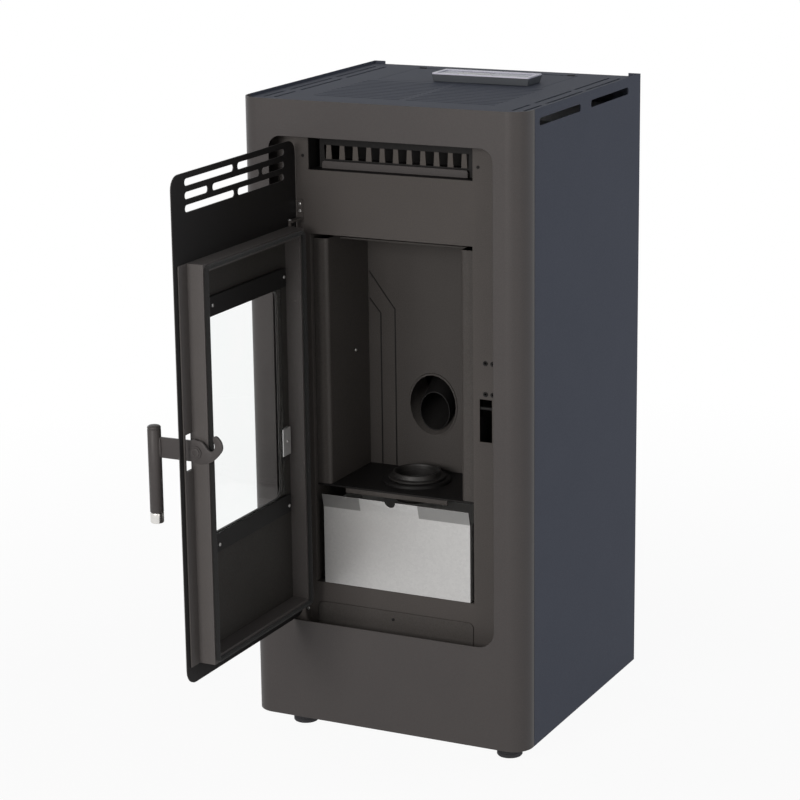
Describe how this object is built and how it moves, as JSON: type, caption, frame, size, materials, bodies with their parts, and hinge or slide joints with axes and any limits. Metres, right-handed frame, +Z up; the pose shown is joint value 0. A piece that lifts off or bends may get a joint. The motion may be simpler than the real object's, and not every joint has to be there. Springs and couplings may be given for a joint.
{
  "type": "pellet stove",
  "caption": "Free-standing pellet stove with a glazed hinged door on a latch lever, lift-out burn pot, ash drawer, hopper with lid, auger feed, smoke fan and room fan.",
  "frame": {"origin": "centre of the bounding box's footprint at floor level, with the door open at a right angle; the floor is Z = 0 under the feet", "axes": "+Z up, -Y out of the front with the door, +X to the right of someone facing the stove"},
  "size_m": [0.469, 0.835, 1.0235],
  "materials": {
    "warm_coat": "satin warm grey powder coat",
    "blue_coat": "satin grey powder coat",
    "fire_steel": "matt heat-proof grey paint",
    "black_steel": "matt heat-proof black paint",
    "cast_iron": "as cast, heat darkened",
    "galvanised": "zinc coated sheet",
    "bright_steel": "polished",
    "raw_steel": "plain steel",
    "rope_seal": "knitted glass-fibre rope, black",
    "ceramic_glass": "clear ceramic glass",
    "black_plastic": "moulded, fine texture",
    "panel_plastic": "silver-grey membrane",
    "circuit_board": "solder mask",
    "foot_rubber": "moulded rubber"
  },
  "bodies": {
    "cabinet": {"front_panel": "warm_coat", "side_panel_left": "blue_coat", "side_panel_right": "blue_coat", "top_cover": "blue_coat", "back_panel": "blue_coat", "base_plate": "galvanised", "foot_front_left": "foot_rubber", "foot_front_right": "foot_rubber", "foot_rear_left": "foot_rubber", "foot_rear_right": "foot_rubber", "inner_front_plate": "fire_steel", "access_panel": "fire_steel", "air_outlet_comb": "fire_steel", "air_outlet_lip": "fire_steel", "air_duct": "black_steel", "firebox_body": "fire_steel", "back_liner": "fire_steel", "side_liner_left": "fire_steel", "side_liner_right": "fire_steel", "baffle": "fire_steel", "burn_pot_deck": "black_steel", "chute_tube": "black_steel", "hopper": "galvanised", "auger_tube": "raw_steel", "auger_gearmotor": "black_plastic", "lid_hinge": "raw_steel", "smoke_fan_housing": "galvanised", "smoke_motor": "black_plastic", "flue_spigot": "black_steel", "air_intake_pipe": "raw_steel", "igniter": "raw_steel", "room_fan_housing": "galvanised", "room_fan_motor": "black_plastic", "control_board": "circuit_board", "power_inlet": "black_plastic", "latch_striker": "raw_steel", "hinge_bracket_upper": "raw_steel", "hinge_bracket_lower": "raw_steel"},
    "door": {"door_leaf": "warm_coat", "door_frame": "warm_coat", "door_inner_panel": "black_steel", "door_glass": "ceramic_glass", "glass_clamp_upper": "black_steel", "glass_clamp_lower": "black_steel", "glass_clip": "raw_steel", "door_gasket": "rope_seal", "latch_pivot_bolt": "raw_steel"},
    "lever": {"latch_lever": "warm_coat", "handle_grip": "warm_coat", "handle_cap": "bright_steel"},
    "lid": {"hopper_lid": "blue_coat", "control_panel_housing": "black_plastic", "control_panel_bezel": "panel_plastic", "control_panel_glass": "panel_plastic"},
    "drawer": {"ash_drawer": "galvanised"},
    "pot": {"burn_pot": "cast_iron"},
    "rocker": {"power_switch_rocker": "black_plastic"},
    "auger": {"auger_screw": "raw_steel"},
    "impeller": {"smoke_impeller": "raw_steel"},
    "fan_wheel": {"room_fan_wheel": "raw_steel"}
  },
  "joints": [
    {"name": "door_hinge", "type": "hinge", "parent": "cabinet", "child": "door", "pos_m": [-0.153, -0.0825, 0.523], "axis": [0, 0, -1], "range_deg": [-90, 0]},
    {"name": "latch_pivot", "type": "hinge", "parent": "door", "child": "lever", "pos_m": [-0.1447, -0.3915, 0.5479], "axis": [0, -1, 0], "range_deg": [-30, 0]},
    {"name": "lid_pivot", "type": "hinge", "parent": "cabinet", "child": "lid", "pos_m": [0, 0.3397, 1.0092], "axis": [-1, 0, 0], "range_deg": [0, 95]},
    {"name": "drawer_slide", "type": "slide", "parent": "cabinet", "child": "drawer", "axis": [0, -1, 0], "range_m": [0, 0.12]},
    {"name": "pot_lift", "type": "slide", "parent": "cabinet", "child": "pot", "axis": [0, 0, 1], "range_m": [0, 0.06]},
    {"name": "switch_rock", "type": "hinge", "parent": "cabinet", "child": "rocker", "pos_m": [0.168, 0.3695, 0.166], "axis": [0, 0, 1], "range_deg": [0, 16]},
    {"name": "auger_turn", "type": "hinge", "parent": "cabinet", "child": "auger", "pos_m": [0, 0.2125, 0.624], "axis": [0, 1, 0], "continuous": true},
    {"name": "smoke_fan_turn", "type": "hinge", "parent": "cabinet", "child": "impeller", "pos_m": [0, 0.1625, 0.292], "axis": [0, 1, 0], "continuous": true},
    {"name": "room_fan_turn", "type": "hinge", "parent": "cabinet", "child": "fan_wheel", "pos_m": [0, 0.2425, 0.108], "axis": [1, 0, 0], "continuous": true}
  ]
}
